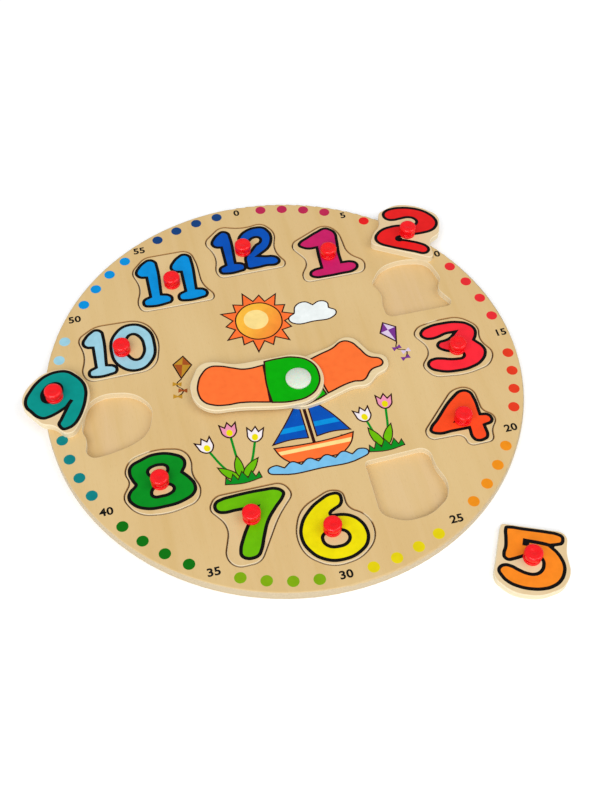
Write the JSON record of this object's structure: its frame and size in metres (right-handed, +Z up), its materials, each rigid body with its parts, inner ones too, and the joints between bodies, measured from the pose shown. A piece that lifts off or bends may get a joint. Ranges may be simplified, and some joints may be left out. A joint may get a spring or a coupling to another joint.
{
  "type": "wooden number puzzle clock",
  "caption": "Round wooden teaching clock: a dial board with lift-out number tiles on finger knobs, and two wooden hands that turn on a capped rivet.",
  "frame": {"origin": "middle of the board's flat underside, in the plane that it rests on", "axes": "+Z up out of the dial face, +Y from the middle towards twelve o'clock, +X towards three o'clock"},
  "size_m": [0.3121, 0.3299, 0.0206],
  "materials": {
    "birch_plywood": "matt clear lacquer",
    "tile_plywood": "matt clear lacquer over printed ink",
    "red_plastic": "moulded gloss",
    "white_plastic": "moulded satin"
  },
  "bodies": {
    "board": {"backing_board": "birch_plywood", "dial_board": "birch_plywood", "pivot_post": "white_plastic", "pivot_cap": "white_plastic"},
    "hour_hand": {"hour_hand": "birch_plywood"},
    "minute_hand": {"minute_hand": "birch_plywood"},
    "number_1": {"numeral_1": "tile_plywood", "knob_1": "red_plastic"},
    "number_2": {"numeral_2": "tile_plywood", "knob_2": "red_plastic"},
    "number_3": {"numeral_3": "tile_plywood", "knob_3": "red_plastic"},
    "number_4": {"numeral_4": "tile_plywood", "knob_4": "red_plastic"},
    "number_5": {"numeral_5": "tile_plywood", "knob_5": "red_plastic"},
    "number_6": {"numeral_6": "tile_plywood", "knob_6": "red_plastic"},
    "number_7": {"numeral_7": "tile_plywood", "knob_7": "red_plastic"},
    "number_8": {"numeral_8": "tile_plywood", "knob_8": "red_plastic"},
    "number_9": {"numeral_9": "tile_plywood", "knob_9": "red_plastic"},
    "number_10": {"numeral_10": "tile_plywood", "knob_10": "red_plastic"},
    "number_11": {"numeral_11": "tile_plywood", "knob_11": "red_plastic"},
    "number_12": {"numeral_12": "tile_plywood", "knob_12": "red_plastic"}
  },
  "joints": [
    {"name": "hour_hand_turn", "type": "hinge", "parent": "board", "child": "hour_hand", "pos_m": [0.0063, -0.009, 0.0097], "axis": [0, 0, 1], "continuous": true},
    {"name": "minute_hand_turn", "type": "hinge", "parent": "board", "child": "minute_hand", "pos_m": [0.0063, -0.009, 0.0129], "axis": [0, 0, 1], "continuous": true},
    {"name": "number_1_lift", "type": "slide", "parent": "board", "child": "number_1", "axis": [0, 0, 1], "range_m": [0, 0.06]},
    {"name": "number_2_lift", "type": "slide", "parent": "board", "child": "number_2", "axis": [0, 0, 1], "range_m": [0, 0.06]},
    {"name": "number_3_lift", "type": "slide", "parent": "board", "child": "number_3", "axis": [0, 0, 1], "range_m": [0, 0.06]},
    {"name": "number_4_lift", "type": "slide", "parent": "board", "child": "number_4", "axis": [0, 0, 1], "range_m": [0, 0.06]},
    {"name": "number_5_lift", "type": "slide", "parent": "board", "child": "number_5", "axis": [0, 0, 1], "range_m": [0, 0.06]},
    {"name": "number_6_lift", "type": "slide", "parent": "board", "child": "number_6", "axis": [0, 0, 1], "range_m": [0, 0.06]},
    {"name": "number_7_lift", "type": "slide", "parent": "board", "child": "number_7", "axis": [0, 0, 1], "range_m": [0, 0.06]},
    {"name": "number_8_lift", "type": "slide", "parent": "board", "child": "number_8", "axis": [0, 0, 1], "range_m": [0, 0.06]},
    {"name": "number_9_lift", "type": "slide", "parent": "board", "child": "number_9", "axis": [0, 0, 1], "range_m": [0, 0.06]},
    {"name": "number_10_lift", "type": "slide", "parent": "board", "child": "number_10", "axis": [0, 0, 1], "range_m": [0, 0.06]},
    {"name": "number_11_lift", "type": "slide", "parent": "board", "child": "number_11", "axis": [0, 0, 1], "range_m": [0, 0.06]},
    {"name": "number_12_lift", "type": "slide", "parent": "board", "child": "number_12", "axis": [0, 0, 1], "range_m": [0, 0.06]}
  ]
}
